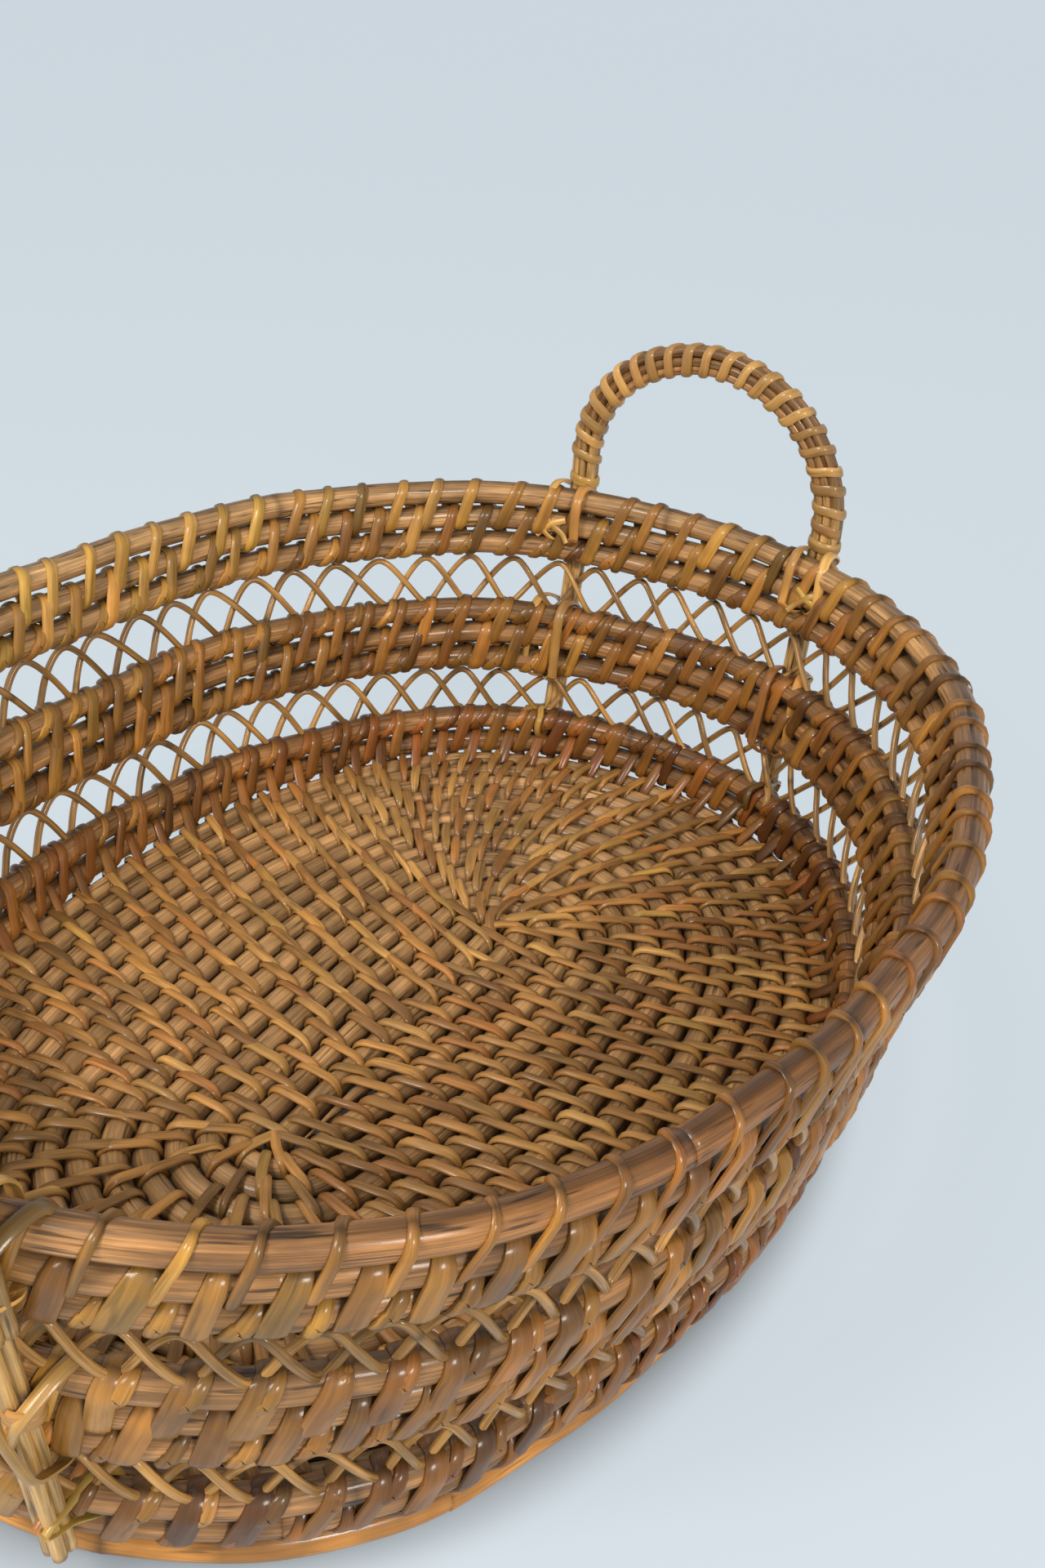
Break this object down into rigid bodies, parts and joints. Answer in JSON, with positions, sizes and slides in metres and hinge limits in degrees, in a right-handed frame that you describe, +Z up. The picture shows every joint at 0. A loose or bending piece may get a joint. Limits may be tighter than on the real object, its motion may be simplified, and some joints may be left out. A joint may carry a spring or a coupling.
{
  "type": "woven basket",
  "caption": "Oval coiled rattan tray basket: stitched rod floor, three bound rod bands, open cane lattices between them and a wrapped loop handle at each end.",
  "frame": {"origin": "on the surface the basket stands on, under the middle of the basket", "axes": "+X from the left handle to the right handle, +Z up"},
  "size_m": [0.3216, 0.2438, 0.1459],
  "materials": {
    "wall_rod": "varnished rattan rod with lengthwise grain and dark flecks",
    "floor_rod": "varnished rattan rod, a little lighter and drier than the wall",
    "foot_rod": "smooth varnished rattan rod",
    "wall_peel": "glossy split rattan peel, tan to olive and red-brown",
    "floor_peel": "glossy split rattan peel, tan to red-brown",
    "lattice_cane": "thin glossy cane",
    "handle_rod": "thin varnished rattan rods",
    "handle_peel": "pale glossy split rattan peel"
  },
  "bodies": {
    "root": {"base_edge_stitches": "wall_peel", "base_rod_lower": "wall_rod", "base_rod_upper": "wall_rod", "base_stitches": "wall_peel", "base_top_wraps": "wall_peel", "floor_coil": "floor_rod", "floor_core_rod": "floor_rod", "floor_stitches_inner": "floor_peel", "floor_stitches_middle": "floor_peel", "floor_stitches_outer": "floor_peel", "foot_ring": "foot_rod", "left_handle_base_lashing": "handle_peel", "left_handle_inner_rods": "handle_rod", "left_handle_mid_lashing": "handle_peel", "left_handle_outer_rods": "handle_rod", "left_handle_rim_lashing": "handle_peel", "left_handle_wrap": "handle_peel", "lower_lattice_1": "lattice_cane", "lower_lattice_2": "lattice_cane", "lower_lattice_3": "lattice_cane", "lower_lattice_4": "lattice_cane", "lower_lattice_5": "lattice_cane", "lower_lattice_6": "lattice_cane", "lower_lattice_7": "lattice_cane", "lower_lattice_8": "lattice_cane", "mid_bottom_wraps": "wall_peel", "mid_lower_stitches": "wall_peel", "mid_rod_lower": "wall_rod", "mid_rod_middle": "wall_rod", "mid_rod_upper": "wall_rod", "mid_top_wraps": "wall_peel", "mid_upper_stitches": "wall_peel", "right_handle_base_lashing": "handle_peel", "right_handle_inner_rods": "handle_rod", "right_handle_mid_lashing": "handle_peel", "right_handle_outer_rods": "handle_rod", "right_handle_rim_lashing": "handle_peel", "right_handle_wrap": "handle_peel", "rim_bottom_wraps": "wall_peel", "rim_lower_stitches": "wall_peel", "rim_rod_lower": "wall_rod", "rim_rod_middle": "wall_rod", "rim_rod_upper": "wall_rod", "rim_upper_stitches": "wall_peel", "upper_lattice_1": "lattice_cane", "upper_lattice_2": "lattice_cane", "upper_lattice_3": "lattice_cane", "upper_lattice_4": "lattice_cane", "upper_lattice_5": "lattice_cane", "upper_lattice_6": "lattice_cane", "upper_lattice_7": "lattice_cane", "upper_lattice_8": "lattice_cane"}
  },
  "joints": []
}
